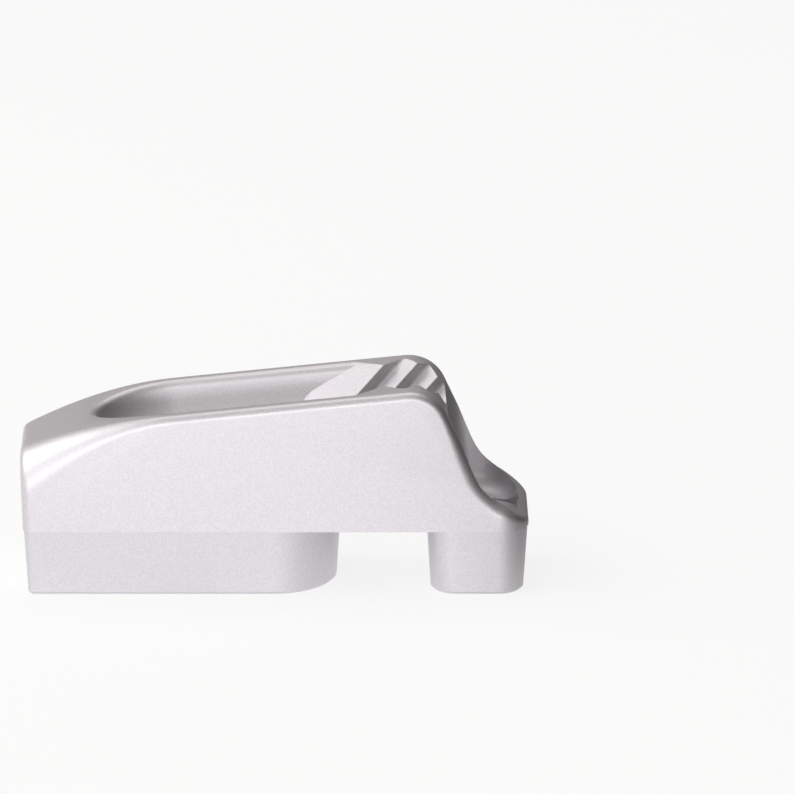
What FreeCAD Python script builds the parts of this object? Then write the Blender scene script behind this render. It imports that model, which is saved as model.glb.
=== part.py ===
import FreeCAD, Part
import math
import os

from FreeCAD import Vector

# Jam cleat for small rope, one aluminium casting that stands on two feet.
# The rope lies along X in a trough, is jammed by slanted teeth in a V-shaped
# throat, and its tail leaves over the crown, down the tail pocket and over
# the lip. The load pulls towards -X. Origin: middle of the base, Z up, in mm.

# Overall size
LENGTH = 82.0
WIDTH = 22.6
CROWN_HEIGHT = 34.2

# Side profile, from the crown down to the lip at the tail end
TOP_SLOPE = 5.9
CROWN_RADIUS = 6.4
CROWN_SETBACK = 19.27
TAIL_SLOPE = 64.5
BEND_RADIUS = 12.0
LIP_SLOPE = 35.0
LIP_RISE = 1.1
TAIL_CORNER_RADIUS = 5.0

# Side profile, from the crown down to the load end
RAMP_RADIUS = 76.0
RAMP_LENGTH = 24.5
LOAD_END_DRAFT = 2.0
LOAD_END_EDGE = 1.5

# Radius of the outer top edge, which changes along the part
BLEND_LOAD_END = 6.0
BLEND_TOP = 1.3
BLEND_TAIL_FOOT = 2.4
BLEND_CORNER = 2.0
BLEND_LIP = 1.4

# Feet, with an arch between them. They taper below the parting line
SPLIT_HEIGHT = 10.9
PARTING_STEP = 0.15
BOSS_LENGTH = 16.6
ARCH_WIDTH = 13.6
FOOT_DRAFT = 3.5
FOOT_NOSE_FLAT = 0.4
BOSS_CORNER_RADIUS = 5.0
FOOT_EDGE = 0.5

# Trough for the rope, with a closed spoon-shaped end
TROUGH_RADIUS = 8.15
SPOON_LENGTH = 13.3
SPOON_SETBACK = 11.7
TROUGH_RIM_RADIUS = 1.4
RIM_RUNOUT = 0.02

# V-shaped throat with slanted teeth on both walls, sizes at crown height
THROAT_HALF_GAP = 6.08
THROAT_WALL_ANGLE = 41.0
TOOTH_PITCH = 5.2
TOOTH_DEPTH = 2.35
TOOTH_COUNT = 4
TOOTH_STEEP_RUN = 2.7
TOOTH_SLANT = 1.09
TOOTH_TIP_RADIUS = 0.25
TOOTH_ROOT_RADIUS = 0.7
FIRST_TOOTH_SETBACK = 3.65
LEAD_IN_LENGTH = 6.4
LEAD_IN_RISE = 5.8

# Pocket that guides the tail down to the lip
POCKET_SIDE_WALL = 1.1
POCKET_CORNER_RADIUS = 3.1
POCKET_WALL_ANGLE = 83.0
POCKET_FLOOR_RISE = 0.4
POCKET_LENGTH = 9.63
POCKET_END_WALL = 1.5
POCKET_END_RADIUS = 6.0
POCKET_FLOOR_RADIUS = 2.9

# Two countersunk screw holes, M5
SCREW_HOLE = 5.3
SCREW_HEAD = 10.4
SCREW_CONE_ANGLE = 90.0
SCREW_HEAD_CLEARANCE = 0.3
TAIL_HOLE_SETBACK = 6.6
SCREW_SPACING = 54.0

LOAD_X = -LENGTH / 2
TAIL_X = LENGTH / 2
SIDE_Y = WIDTH / 2
LIP_HEIGHT = SPLIT_HEIGHT + LIP_RISE
POCKET_FLOOR = SPLIT_HEIGHT + POCKET_FLOOR_RISE
CROWN_X = TAIL_X - CROWN_SETBACK
TOP_ANGLE = math.radians(TOP_SLOPE)
TAIL_ANGLE = math.radians(TAIL_SLOPE)
LIP_ANGLE = math.radians(LIP_SLOPE)
REACH = 3 * (LENGTH + CROWN_HEIGHT)


def side_point(u, v):
    """Point in the lengthwise middle plane."""
    return Vector(u, 0, v)


def outline(corners, place):
    """Closed wire through corners (u, v, radius), each turned with its radius."""
    starts = []
    ends = []
    arcs = []
    count = len(corners)
    for i in range(count):
        u, v, radius = corners[i]
        corner = Vector(u, v, 0)
        before = Vector(corners[i - 1][0], corners[i - 1][1], 0) - corner
        after = Vector(corners[(i + 1) % count][0], corners[(i + 1) % count][1], 0) - corner
        before.normalize()
        after.normalize()
        if radius <= 0:
            starts.append(corner)
            ends.append(corner)
            arcs.append(None)
            continue
        half = before.getAngle(after) / 2
        tangent = radius / math.tan(half)
        bisector = before + after
        bisector.normalize()
        centre = corner + bisector * (radius / math.sin(half))
        starts.append(corner + before * tangent)
        ends.append(corner + after * tangent)
        arcs.append(centre - bisector * radius)
    edges = []
    for i in range(count):
        here = place(starts[i].x, starts[i].y)
        leave = place(ends[i].x, ends[i].y)
        if arcs[i] is not None:
            edges.append(Part.Arc(here, place(arcs[i].x, arcs[i].y), leave).toShape())
        following = starts[(i + 1) % count]
        target = place(following.x, following.y)
        if leave.distanceToPoint(target) > 1e-6:
            edges.append(Part.makeLine(leave, target))
    return Part.Wire(edges)


def top_line(x):
    """Height of the straight top, without the crown's radius."""
    slope = math.tan(TOP_ANGLE)
    peak_to_line = CROWN_RADIUS * (1 / math.cos(TOP_ANGLE) - 1)
    return CROWN_HEIGHT + peak_to_line + slope * (x - CROWN_X)


def meet(point_a, angle_a, point_b, angle_b):
    """Point where two lines of the side profile cross."""
    ax, az = point_a
    bx, bz = point_b
    slope_a = math.tan(angle_a)
    slope_b = math.tan(angle_b)
    x = (bz - az + slope_a * ax - slope_b * bx) / (slope_a - slope_b)
    return x, az + slope_a * (x - ax)


def tail_line_point():
    """Point where the crown's arc runs into the steep tail face."""
    centre_z = CROWN_HEIGHT - CROWN_RADIUS
    return (
        CROWN_X + CROWN_RADIUS * math.sin(TAIL_ANGLE),
        centre_z + CROWN_RADIUS * math.cos(TAIL_ANGLE),
    )


def bend_corner():
    """Point where the steep tail face and the lip would meet without the bend."""
    return meet(tail_line_point(), -TAIL_ANGLE, (TAIL_X, LIP_HEIGHT), -LIP_ANGLE)


def side_profile():
    """Outline of the part without its arch, seen from the side."""
    tail = tail_line_point()
    crown = meet((CROWN_X, top_line(CROWN_X)), TOP_ANGLE, tail, -TAIL_ANGLE)
    bend = bend_corner()
    ramp_start = LOAD_X + RAMP_LENGTH
    end_angle = math.asin(math.sin(TOP_ANGLE) + RAMP_LENGTH / RAMP_RADIUS)
    tangent = RAMP_RADIUS * math.tan((end_angle - TOP_ANGLE) / 2)
    ramp_corner = (
        ramp_start - tangent * math.cos(TOP_ANGLE),
        top_line(ramp_start) - tangent * math.sin(TOP_ANGLE),
    )
    load_end = (
        ramp_corner[0] - tangent * math.cos(end_angle),
        ramp_corner[1] - tangent * math.sin(end_angle),
    )
    lean = load_end[1] * math.tan(math.radians(LOAD_END_DRAFT))
    corners = [
        (LOAD_X + lean, 0, 0),
        (TAIL_X, 0, 0),
        (TAIL_X, LIP_HEIGHT, 0),
        (bend[0], bend[1], BEND_RADIUS),
        (crown[0], crown[1], CROWN_RADIUS),
        (ramp_corner[0], ramp_corner[1], RAMP_RADIUS),
        (load_end[0], load_end[1], 0),
    ]
    return outline(corners, side_point)


def edges_where(shape, test):
    """Edges of a shape whose midpoint and direction pass a test."""
    found = []
    for edge in shape.Edges:
        first, last = edge.ParameterRange
        middle = edge.valueAt((first + last) / 2)
        if test(edge, middle):
            found.append(edge)
    return found


def is_upright(edge):
    """True for an edge that runs along Z."""
    box = edge.BoundBox
    return box.ZLength > 0.5 and box.XLength < 0.01 and box.YLength < 0.01


def blend_radius(x):
    """Radius of the outer top edge at a place along the part."""
    tangent = BEND_RADIUS * math.tan((TAIL_ANGLE - LIP_ANGLE) / 2)
    stations = [
        (LOAD_X, BLEND_LOAD_END),
        (LOAD_X + RAMP_LENGTH, BLEND_TOP),
        (tail_line_point()[0], BLEND_TOP),
        (bend_corner()[0] - tangent * math.cos(TAIL_ANGLE), BLEND_TAIL_FOOT),
        (TAIL_X - TAIL_CORNER_RADIUS, BLEND_CORNER),
        (TAIL_X, BLEND_LIP),
    ]
    for (x0, r0), (x1, r1) in zip(stations, stations[1:]):
        if x <= x1:
            share = max(0.0, (x - x0) / (x1 - x0))
            return r0 + (r1 - r0) * share
    return BLEND_LIP


def varying_fillet(shape, indices):
    """Fillet whose radius follows blend_radius along the edges."""
    document = FreeCAD.newDocument("blend")
    base = document.addObject("Part::Feature", "Base")
    base.Shape = shape
    blend = document.addObject("Part::Fillet", "Blend")
    blend.Base = base
    rows = []
    for index in indices:
        box = shape.Edges[index].BoundBox
        near_load = blend_radius(box.XMin)
        near_tail = blend_radius(box.XMax)
        if box.YMin + box.YMax < 0:
            rows.append((index + 1, near_load, near_tail))
        else:
            rows.append((index + 1, near_tail, near_load))
    blend.Edges = rows
    document.recompute()
    result = blend.Shape.copy()
    FreeCAD.closeDocument(document.Name)
    return result


def plain_body():
    """Body with rounded tail corners, and the indices of its outer top edges."""
    profile = Part.Face(side_profile())
    profile.translate(Vector(0, -SIDE_Y, 0))
    body = profile.extrude(Vector(0, WIDTH, 0))
    corners = edges_where(body, lambda e, m: is_upright(e) and m.x > TAIL_X - 0.1)
    body = body.makeFillet(TAIL_CORNER_RADIUS, corners)
    chain = []
    for index, edge in enumerate(body.Edges):
        first, last = edge.ParameterRange
        middle = edge.valueAt((first + last) / 2)
        ends_low = min(v.Z for v in edge.Vertexes)
        on_side = abs(middle.y) > SIDE_Y - 0.01 or middle.x > TAIL_X - TAIL_CORNER_RADIUS
        across = abs(middle.y) < 0.01 and middle.x < TAIL_X - 0.01
        if ends_low > SPLIT_HEIGHT + LIP_RISE / 2 and on_side and not (across or is_upright(edge)):
            chain.append(index)
    return body, chain


def level(z):
    """Placer for outlines drawn in a horizontal plane."""
    return lambda u, v: Vector(u, v, z)


def upper_body():
    """Everything above the parting line, still without trough and pocket."""
    body, chain = plain_body()
    body = varying_fillet(body, chain)
    load_faces = [f for f in body.Faces if f.BoundBox.XMax < LOAD_X + 1.0]
    end_face = max(load_faces, key=lambda f: f.Area)
    rim = [e for e in end_face.Edges if e.BoundBox.ZMax > 0.01]
    body = body.makeFillet(LOAD_END_EDGE, rim)
    above = Part.makeBox(
        2 * LENGTH, 2 * WIDTH, CROWN_HEIGHT, Vector(-LENGTH, -WIDTH, SPLIT_HEIGHT)
    )
    return body.common(above)


def foot(x_load, x_tail, load_radius, tail_radius):
    """One foot: it tapers down from the parting line to a bevelled base edge."""
    draft = SPLIT_HEIGHT * math.tan(math.radians(FOOT_DRAFT))
    wires = []
    for z, inset in ((SPLIT_HEIGHT, PARTING_STEP), (0.0, PARTING_STEP + draft)):
        side = SIDE_Y - inset
        corners = [
            (x_load + inset, -side, load_radius - inset),
            (x_tail - inset, -side, tail_radius - inset),
            (x_tail - inset, side, tail_radius - inset),
            (x_load + inset, side, load_radius - inset),
        ]
        wires.append(outline(corners, level(z)))
    solid = Part.makeLoft(wires, True, True)
    base_edges = edges_where(solid, lambda e, m: e.BoundBox.ZMax < 0.01)
    return solid.makeChamfer(FOOT_EDGE, base_edges)


def load_end_at(z):
    """Place of the leaning load end at one height."""
    top = max(v.Z for v in side_profile().Vertexes if v.X < LOAD_X + 0.01)
    return LOAD_X + (top - z) * math.tan(math.radians(LOAD_END_DRAFT))


def trough_bullet():
    """Round bar with an elliptical nose, lying on the straight top line."""
    middle = Vector(0, 0, 0)
    tip = Vector(-SPOON_LENGTH, 0, 0)
    shoulder = Vector(0, TROUGH_RADIUS, 0)
    curve = Part.Ellipse(middle, SPOON_LENGTH, TROUGH_RADIUS).toShape(math.pi / 2, math.pi)
    sides = [curve, Part.makeLine(shoulder, middle), Part.makeLine(middle, tip)]
    quarter = Part.Face(Part.Wire(Part.__sortEdges__(sides)))
    nose = quarter.revolve(middle, Vector(1, 0, 0), 360).toNurbs()
    strip = Part.makePlane(REACH, TROUGH_RADIUS)
    bar = strip.revolve(middle, Vector(1, 0, 0), 360)
    bullet = nose.fuse(bar)
    bullet.rotate(Vector(0, 0, 0), Vector(1, 0, 0), 90)
    bullet.rotate(Vector(0, 0, 0), Vector(0, 1, 0), -TOP_SLOPE)
    x = LOAD_X + SPOON_SETBACK + SPOON_LENGTH * math.cos(TOP_ANGLE)
    bullet.translate(Vector(x, 0, top_line(x)))
    return bullet


def trough_tool():
    """Volume of the trough with its rounded rim, as if it ran right through."""
    ramp = [e for e in side_profile().Edges if isinstance(e.Curve, Part.Circle)]
    ramp = max(ramp, key=lambda e: e.Curve.Radius)
    low, high = sorted((v.Point for v in ramp.Vertexes), key=lambda p: p.x)
    far = Vector(REACH, 0, top_line(REACH))
    base_far = Vector(REACH, 0, 0)
    base_near = Vector(low.x, 0, 0)
    lines = [
        Part.makeLine(high, far),
        Part.makeLine(far, base_far),
        Part.makeLine(base_far, base_near),
        Part.makeLine(base_near, low),
    ]
    profile = Part.Face(Part.Wire(Part.__sortEdges__([ramp] + lines)))
    profile.translate(Vector(0, -WIDTH, RIM_RUNOUT))
    block = profile.extrude(Vector(0, 2 * WIDTH, 0))
    grooved = block.cut(trough_bullet())

    def on_rim(edge, middle):
        """Rim edges lie on top of the block, inside its sides."""
        inside = abs(middle.y) < TROUGH_RADIUS + 0.1 and middle.x < REACH - 1
        steep = middle.z > top_line(middle.x) - TROUGH_RADIUS / 2
        return inside and steep and edge.BoundBox.XMax > low.x + 1

    rounded = grooved.makeFillet(TROUGH_RIM_RADIUS, edges_where(grooved, on_rim))
    return block.cut(rounded)


def comb(side):
    """Room left open by one toothed throat wall; side is 1 or -1.

    The teeth are drawn at crown height, seen along the slant that they are
    swept by, so that their tips and roots are true rounds.
    """
    slant = Vector(-TOOTH_SLANT, -math.tan(math.radians(THROAT_WALL_ANGLE)), -1)
    slant.normalize()
    across = Vector(1, 0, 0) - slant * slant.x
    across.normalize()
    rise = slant.cross(across)

    def seen(x, y, radius):
        """A point at crown height as the slanted sweep sees it."""
        point = Vector(x, y, CROWN_HEIGHT)
        return point.dot(across), point.dot(rise), radius

    def place(u, v):
        """Back from the sweep's view to space."""
        return across * u + rise * v

    crest_x = CROWN_X - FIRST_TOOTH_SETBACK
    root_y = THROAT_HALF_GAP + TOOTH_DEPTH
    open_x = crest_x - LEAD_IN_LENGTH
    open_y = THROAT_HALF_GAP + LEAD_IN_RISE
    corners = [seen(-REACH, -REACH, 0), seen(-REACH, REACH, 0)]
    corners += [seen(open_x, REACH, 0), seen(open_x, open_y, 0)]
    for i in range(TOOTH_COUNT):
        x = crest_x + i * TOOTH_PITCH
        last = i == TOOTH_COUNT - 1
        corners.append(seen(x, THROAT_HALF_GAP, TOOTH_TIP_RADIUS))
        corners.append(seen(x + TOOTH_STEEP_RUN, root_y, 0 if last else TOOTH_ROOT_RADIUS))
    corners += [seen(REACH, root_y, 0), seen(REACH, -REACH, 0)]
    face = Part.Face(outline(corners, place))
    face.translate(slant * -REACH)
    room = face.extrude(slant * (2 * REACH))
    if side < 0:
        room = room.mirror(Vector(0, 0, 0), Vector(0, 1, 0))
    return room


def pocket_tool():
    """Volume of the tail pocket, drawn out upwards."""
    lean = math.tan(math.radians(POCKET_WALL_ANGLE))
    top = CROWN_HEIGHT + 1
    end_x = TAIL_X - POCKET_END_WALL
    back_x = end_x - POCKET_LENGTH
    half = SIDE_Y - POCKET_SIDE_WALL
    corners = [
        (back_x - (top - POCKET_FLOOR) / lean, top, 0),
        (back_x, POCKET_FLOOR, 0),
        (end_x, POCKET_FLOOR, 0),
        (end_x, top, 0),
    ]
    profile = Part.Face(outline(corners, side_point))
    profile.translate(Vector(0, -half, 0))
    tool = profile.extrude(Vector(0, 2 * half, 0))
    end = edges_where(tool, lambda e, m: is_upright(e))
    tool = tool.makeFillet(POCKET_END_RADIUS, end)
    back = edges_where(tool, lambda e, m: e.BoundBox.ZLength > 1 and m.x < back_x)
    tool = tool.makeFillet(POCKET_CORNER_RADIUS, back)
    floor = edges_where(tool, lambda e, m: e.BoundBox.ZMax < POCKET_FLOOR + 0.01)
    return tool.makeFillet(POCKET_FLOOR_RADIUS, floor)


def screw_tool(x, seat_z):
    """Screw hole with a countersink whose top lies just below seat_z."""
    cone_depth = (SCREW_HEAD - SCREW_HOLE) / 2 / math.tan(math.radians(SCREW_CONE_ANGLE / 2))
    cone_top = seat_z - SCREW_HEAD_CLEARANCE
    hole = Part.makeCylinder(SCREW_HOLE / 2, cone_top + 1, Vector(x, 0, -1))
    cone = Part.makeCone(
        SCREW_HOLE / 2, SCREW_HEAD / 2, cone_depth, Vector(x, 0, cone_top - cone_depth)
    )
    head_room = Part.makeCylinder(SCREW_HEAD / 2, CROWN_HEIGHT, Vector(x, 0, cone_top))
    return hole.fuse(cone).fuse(head_room)


def trough_floor(x):
    """Height of the trough's lowest line at one place."""
    centre = LOAD_X + SPOON_SETBACK + SPOON_LENGTH * math.cos(TOP_ANGLE)
    share = max(0.0, centre - x) / SPOON_LENGTH
    return top_line(x) - TROUGH_RADIUS * math.sqrt(max(0.0, 1 - share * share))


def cleat_body():
    """The complete casting."""
    body = upper_body()
    throat = trough_tool().common(comb(1)).common(comb(-1))
    body = body.cut(throat)
    body = body.cut(pocket_tool())
    boss_x = TAIL_X - BOSS_LENGTH
    nose = SIDE_Y - FOOT_NOSE_FLAT / 2
    long_foot = foot(load_end_at(SPLIT_HEIGHT), boss_x - ARCH_WIDTH, LOAD_END_EDGE, nose)
    boss = foot(boss_x, TAIL_X, BOSS_CORNER_RADIUS, TAIL_CORNER_RADIUS)
    body = body.fuse([long_foot, boss])
    tail_hole = TAIL_X - TAIL_HOLE_SETBACK
    load_hole = tail_hole - SCREW_SPACING
    body = body.cut(screw_tool(tail_hole, POCKET_FLOOR))
    body = body.cut(screw_tool(load_hole, trough_floor(load_hole)))
    if len(body.Solids) != 1:
        raise ValueError("the casting is not one solid")
    return body.Solids[0]


os.makedirs("parts", exist_ok=True)
cleat_body().exportStep("parts/cleat_body.step")
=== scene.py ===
import logging
import math
from dataclasses import dataclass, field
from enum import Enum

import bmesh
import bpy
import numpy as np
from mathutils import Matrix, Vector


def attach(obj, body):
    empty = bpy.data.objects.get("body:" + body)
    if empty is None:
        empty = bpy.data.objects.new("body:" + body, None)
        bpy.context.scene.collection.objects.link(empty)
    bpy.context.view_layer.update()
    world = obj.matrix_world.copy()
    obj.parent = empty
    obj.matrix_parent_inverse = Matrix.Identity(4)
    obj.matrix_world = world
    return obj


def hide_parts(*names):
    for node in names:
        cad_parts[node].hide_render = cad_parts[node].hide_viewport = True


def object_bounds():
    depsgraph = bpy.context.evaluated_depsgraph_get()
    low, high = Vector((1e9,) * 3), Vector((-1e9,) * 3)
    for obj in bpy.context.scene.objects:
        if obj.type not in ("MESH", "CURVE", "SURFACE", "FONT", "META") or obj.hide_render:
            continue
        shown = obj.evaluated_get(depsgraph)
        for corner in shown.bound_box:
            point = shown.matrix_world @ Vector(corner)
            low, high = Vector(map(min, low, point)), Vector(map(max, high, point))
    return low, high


logging.basicConfig(level=logging.INFO, format="%(message)s")
LOG = logging.getLogger("jam_cleat")

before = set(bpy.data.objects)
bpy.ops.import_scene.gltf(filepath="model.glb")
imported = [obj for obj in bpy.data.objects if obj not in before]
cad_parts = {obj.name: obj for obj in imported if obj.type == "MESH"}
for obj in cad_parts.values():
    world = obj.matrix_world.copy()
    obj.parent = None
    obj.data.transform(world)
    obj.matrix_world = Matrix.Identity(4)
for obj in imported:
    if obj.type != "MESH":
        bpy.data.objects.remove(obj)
CAD_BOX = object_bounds()

MM = 0.001
IMAGE_SIDE_PX = 794


class LampSide(Enum):
    """Side on which a soft box stands, seen from the camera."""

    FRONT = "front"
    FRONT_LEFT = "front_left"
    LEFT = "left"
    ABOVE = "above"


def linear(hex_colour: str) -> tuple[float, float, float, float]:
    """Turns an sRGB hex colour into Blender's linear colour.

    Each channel c is c / 12.92 below 0.04045 and ((c + 0.055) / 1.055) ** 2.4 above.

    Args:
        hex_colour: Six hex digits, with or without a leading #.

    Returns:
        Red, green, blue and an alpha of 1.
    """
    digits = hex_colour.lstrip("#")
    srgb = np.array([int(digits[i : i + 2], 16) for i in (0, 2, 4)]) / 255
    low = srgb / 12.92
    high = ((srgb + 0.055) / 1.055) ** 2.4
    red, green, blue = np.where(srgb <= 0.04045, low, high)
    return float(red), float(green), float(blue), 1.0


def add_node(
    tree: bpy.types.NodeTree,
    kind: str,
    settings: dict | None = None,
    links: dict | None = None,
) -> bpy.types.Node:
    """Adds one shader node with its settings, socket values and incoming links.

    Args:
        tree: The node tree that gets the node.
        kind: The node's type name, such as ShaderNodeTexNoise.
        settings: Attribute or input socket names, each with its value.
        links: Input socket names or numbers, each with the output that feeds it.

    Returns:
        The new node.
    """
    node = tree.nodes.new(kind)
    for name, value in (settings or {}).items():
        if name in node.inputs:
            node.inputs[name].default_value = value
        else:
            setattr(node, name, value)
    for name, source in (links or {}).items():
        tree.links.new(source, node.inputs[name])
    return node


@dataclass(frozen=True)
class BeadBlastedCasting:
    """Cast aluminium, bead-blasted and clear anodised.

    The beads leave fine dimples, so the metal is bright but satin: it shows soft
    broad highlights and a faint grain, and no mirror image.
    """

    colour: str = "#E2DFE4"
    colour_dull: str = "#D7D4D9"
    roughness: float = 0.50
    roughness_change: float = 0.04
    # Real bead dimples are about 0.1 mm; drawn at 0.3 mm so that they show.
    dimple_mm: float = 0.3
    dimple_depth_mm: float = 0.006
    dimple_detail: float = 2.0
    dimple_unevenness: float = 0.7
    # The noise runs from 0 to 1, and most of it lies between these values.
    colour_span: tuple[float, float] = (0.38, 0.62)
    roughness_span: tuple[float, float] = (0.3, 0.7)

    def material(self) -> bpy.types.Material:
        """Builds the material.

        Returns:
            The finished material, ready for any piece of the casting.
        """
        material = bpy.data.materials.new("bead_blasted_cast_aluminium")
        material.use_nodes = True
        tree = material.node_tree
        tree.nodes.clear()
        place = add_node(tree, "ShaderNodeTexCoord").outputs["Object"]
        dimples = add_node(
            tree,
            "ShaderNodeTexNoise",
            {
                "Scale": 1 / (self.dimple_mm * MM),
                "Detail": self.dimple_detail,
                "Roughness": self.dimple_unevenness,
            },
            {"Vector": place},
        )
        colour = add_node(tree, "ShaderNodeValToRGB", links={"Fac": dimples.outputs["Fac"]})
        stops = zip(self.colour_span, (self.colour_dull, self.colour))
        for stop, (position, shade) in zip(colour.color_ramp.elements, stops):
            stop.position = position
            stop.color = linear(shade)
        rough = add_node(
            tree,
            "ShaderNodeMapRange",
            {
                "From Min": self.roughness_span[0],
                "From Max": self.roughness_span[1],
                "To Min": self.roughness - self.roughness_change,
                "To Max": self.roughness + self.roughness_change,
            },
            {"Value": dimples.outputs["Fac"]},
        )
        bump = add_node(
            tree,
            "ShaderNodeBump",
            {"Strength": 1.0, "Distance": self.dimple_depth_mm * MM},
            {"Height": dimples.outputs["Fac"]},
        )
        shader = add_node(
            tree,
            "ShaderNodeBsdfPrincipled",
            {"Metallic": 1.0},
            {
                "Base Color": colour.outputs["Color"],
                "Roughness": rough.outputs["Result"],
                "Normal": bump.outputs["Normal"],
            },
        )
        add_node(
            tree, "ShaderNodeOutputMaterial", links={"Surface": shader.outputs["BSDF"]}
        )
        return material


@dataclass
class Casting:
    """The cleat itself: one casting, dressed as bead-blasted aluminium."""

    node: str = "cleat_body"
    finish: BeadBlastedCasting = field(default_factory=BeadBlastedCasting)
    merge_mm: float = 0.002
    crease_deg: float = 24.0

    def build(self) -> bpy.types.Object:
        """Makes the shown casting from the solid's own surface.

        The triangles are merged into one closed skin, so that round faces shade
        smoothly and only edges sharper than the crease angle stay crisp.

        Returns:
            The finished object, riding on the root body.
        """
        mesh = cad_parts[self.node].data.copy()
        mesh.name = "cleat_casting"
        skin = bmesh.new()
        skin.from_mesh(mesh)
        bmesh.ops.remove_doubles(skin, verts=skin.verts, dist=self.merge_mm * MM)
        for edge in skin.edges:
            edge.smooth = edge.calc_face_angle(math.pi) < math.radians(self.crease_deg)
        for face in skin.faces:
            face.smooth = True
        skin.to_mesh(mesh)
        skin.free()
        mesh.materials.clear()
        mesh.materials.append(self.finish.material())
        piece = bpy.data.objects.new("cleat_casting", mesh)
        bpy.context.scene.collection.objects.link(piece)
        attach(piece, "root")
        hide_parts(self.node)
        LOG.info("casting: %d faces", len(mesh.polygons))
        return piece


@dataclass(frozen=True)
class SoftBox:
    """One flat lamp that looks at the cleat's middle. Sizes are in metres."""

    side: LampSide
    place: tuple[float, float, float]
    width: float
    height: float
    power: float

    def build(self, target: Vector) -> bpy.types.Object:
        """Adds the lamp.

        Args:
            target: The point that the lamp faces, in metres.

        Returns:
            The lamp's object.
        """
        data = bpy.data.lights.new(f"soft_box_{self.side.value}", "AREA")
        data.shape = "RECTANGLE"
        data.size = self.width
        data.size_y = self.height
        data.energy = self.power
        lamp = bpy.data.objects.new(data.name, data)
        lamp.location = self.place
        lamp.visible_camera = False
        direction = target - lamp.location
        lamp.rotation_euler = direction.to_track_quat("-Z", "Y").to_euler()
        bpy.context.scene.collection.objects.link(lamp)
        return lamp


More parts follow.
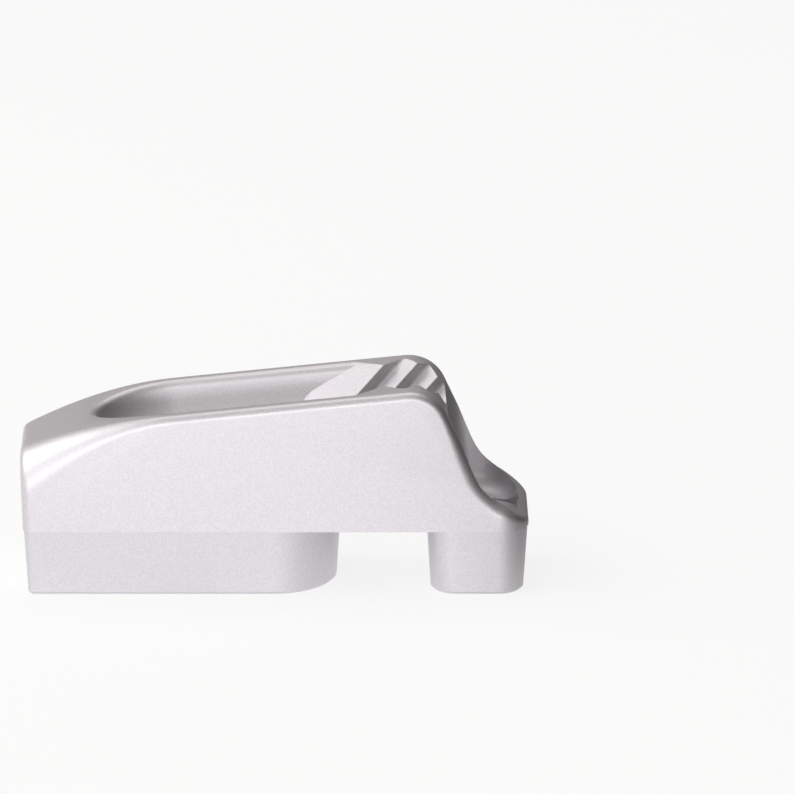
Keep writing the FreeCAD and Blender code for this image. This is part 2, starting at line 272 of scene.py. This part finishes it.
@dataclass
class Studio:
    """Pale floor, four soft boxes and a room that is lighter on the left.

    Sizes are in metres. The floor's glow is full up to glow_full_to along X and
    gone from glow_gone_from on.
    """

    floor_side: float = 6.0
    floor_colour: str = "#FDFDFD"
    floor_glow: float = 0.82
    glow_full_to: float = 0.025
    glow_gone_from: float = 0.085
    soft_boxes: tuple[SoftBox, ...] = (
        SoftBox(LampSide.FRONT, (-0.06, -0.95, 0.12), 1.10, 0.18, 2.7),
        SoftBox(LampSide.FRONT_LEFT, (-0.42, -0.78, 0.38), 0.40, 0.46, 0.60),
        SoftBox(LampSide.LEFT, (-0.68, -0.07, 0.62), 0.90, 0.50, 3.5),
        SoftBox(LampSide.ABOVE, (0.05, 0.25, 0.90), 0.55, 0.55, 1.3),
    )
    room_colour: str = "#FFFBF4"
    room_middle: float = 0.39
    room_slope: tuple[float, float, float] = (-0.37, -0.06, 0.0)

    def paper(self) -> bpy.types.Material:
        """Builds the floor's matt paper.

        Seen directly, part of its white is a glow of strength 1, so it looks white
        without more light on the cleat and keeps a faint shadow. The metal shows the
        same glow, but it fades out to the right of the cleat.

        Returns:
            The finished material.
        """
        material = bpy.data.materials.new("pale_matt_paper")
        material.use_nodes = True
        tree = material.node_tree
        tree.nodes.clear()
        matt = add_node(
            tree, "ShaderNodeBsdfDiffuse", {"Color": linear(self.floor_colour)}
        )
        ray = add_node(tree, "ShaderNodeLightPath").outputs
        place = add_node(tree, "ShaderNodeTexCoord").outputs["Object"]
        along = add_node(tree, "ShaderNodeSeparateXYZ", links={"Vector": place})
        fade = add_node(
            tree,
            "ShaderNodeMapRange",
            {
                "From Min": self.glow_full_to,
                "From Max": self.glow_gone_from,
                "To Min": 1.0,
                "To Max": 0.0,
            },
            {"Value": along.outputs["X"]},
        )
        strength = add_node(
            tree,
            "ShaderNodeMath",
            {"operation": "MAXIMUM"},
            {0: ray["Is Camera Ray"], 1: fade.outputs["Result"]},
        )
        glow = add_node(
            tree, "ShaderNodeEmission", links={"Strength": strength.outputs["Value"]}
        )
        seen = add_node(
            tree,
            "ShaderNodeMath",
            {"operation": "MAXIMUM"},
            {0: ray["Is Camera Ray"], 1: ray["Is Glossy Ray"]},
        )
        share = add_node(
            tree, "ShaderNodeMath", {"operation": "MULTIPLY"}, {0: seen.outputs["Value"]}
        )
        share.inputs[1].default_value = self.floor_glow
        white = add_node(
            tree,
            "ShaderNodeMixShader",
            links={
                "Fac": share.outputs["Value"],
                1: matt.outputs["BSDF"],
                2: glow.outputs["Emission"],
            },
        )
        add_node(
            tree, "ShaderNodeOutputMaterial", links={"Surface": white.outputs["Shader"]}
        )
        return material

    def floor(self) -> bpy.types.Object:
        """Makes the floor: one square, level with the feet.

        Returns:
            The floor's object.
        """
        half = self.floor_side / 2
        corners = [(-half, -half, 0), (half, -half, 0), (half, half, 0), (-half, half, 0)]
        mesh = bpy.data.meshes.new("studio_floor")
        mesh.from_pydata(corners, [], [(0, 1, 2, 3)])
        mesh.materials.append(self.paper())
        floor = bpy.data.objects.new("studio_floor", mesh)
        bpy.context.scene.collection.objects.link(floor)
        return floor

    def room(self) -> None:
        """Sets the world as a plain room with an even fall of light across it.

        The strength in a direction is the room's middle value plus the direction's
        dot product with the slope, so the room is lightest at the left and the front.
        """
        world = bpy.data.worlds.new("studio_room")
        bpy.context.scene.world = world
        world.use_nodes = True
        tree = world.node_tree
        tree.nodes.clear()
        direction = add_node(tree, "ShaderNodeTexCoord").outputs["Generated"]
        fall = add_node(
            tree, "ShaderNodeVectorMath", {"operation": "DOT_PRODUCT"}, {0: direction}
        )
        fall.inputs[1].default_value = self.room_slope
        strength = add_node(
            tree, "ShaderNodeMath", {"operation": "ADD"}, {0: fall.outputs["Value"]}
        )
        strength.inputs[1].default_value = self.room_middle
        glow = add_node(
            tree,
            "ShaderNodeBackground",
            {"Color": linear(self.room_colour)},
            {"Strength": strength.outputs["Value"]},
        )
        add_node(
            tree, "ShaderNodeOutputWorld", links={"Surface": glow.outputs["Background"]}
        )

    def build(self, target: Vector) -> None:
        """Builds floor, room and lamps.

        Args:
            target: The cleat's middle, which the lamps face.
        """
        self.floor()
        self.room()
        for soft_box in self.soft_boxes:
            soft_box.build(target)
        LOG.info("studio: %d soft boxes", len(self.soft_boxes))


@dataclass
class PhotoCamera:
    """Camera that stands where the photograph was taken from.

    It stands before the aim and above it, and is then turned a little to the right
    and up, so that the aim appears at aim_px in the picture.
    """

    elevation_deg: float = 18.0
    distance: float = 1.20
    px_per_mm: float = 6.167
    aim: tuple[float, float, float] = (0.0080, 0.0, 0.0171)
    aim_px: tuple[float, float] = (324.4, 474.0)
    sensor_mm: float = 36.0
    clip: tuple[float, float] = (0.05, 20.0)

    def build(self) -> bpy.types.Object:
        """Adds the camera and makes it the scene's own.

        Returns:
            The camera's object.
        """
        data = bpy.data.cameras.new("photo_camera")
        frame_width = IMAGE_SIDE_PX / self.px_per_mm * MM
        data.sensor_width = self.sensor_mm
        data.lens = self.sensor_mm * self.distance / frame_width
        data.clip_start, data.clip_end = self.clip
        rise = math.radians(self.elevation_deg)
        target = Vector(self.aim)
        back = Vector((0, -math.cos(rise), math.sin(rise)))
        half = IMAGE_SIDE_PX / 2
        px_per_m = self.px_per_mm / MM
        right = math.atan((half - self.aim_px[0]) / px_per_m / self.distance)
        up = math.atan((self.aim_px[1] - half) / px_per_m / self.distance)
        camera = bpy.data.objects.new("photo_camera", data)
        place = Matrix.Translation(target + back * self.distance)
        level = Matrix.Rotation(math.pi / 2 - rise, 4, "X")
        turn = Matrix.Rotation(-right, 4, "Y") @ Matrix.Rotation(up, 4, "X")
        camera.matrix_world = place @ level @ turn
        bpy.context.scene.collection.objects.link(camera)
        bpy.context.scene.camera = camera
        return camera


def main() -> None:
    """Builds the cleat, then the studio and camera round it."""
    bpy.context.scene.view_settings.view_transform = "Standard"
    casting = Casting()
    piece = casting.build()
    LOG.info("piece: %s", piece.name)
    low, high = (Vector(corner) for corner in CAD_BOX)
    Studio().build((low + high) / 2)
    PhotoCamera().build()


if __name__ == "__main__":
    main()
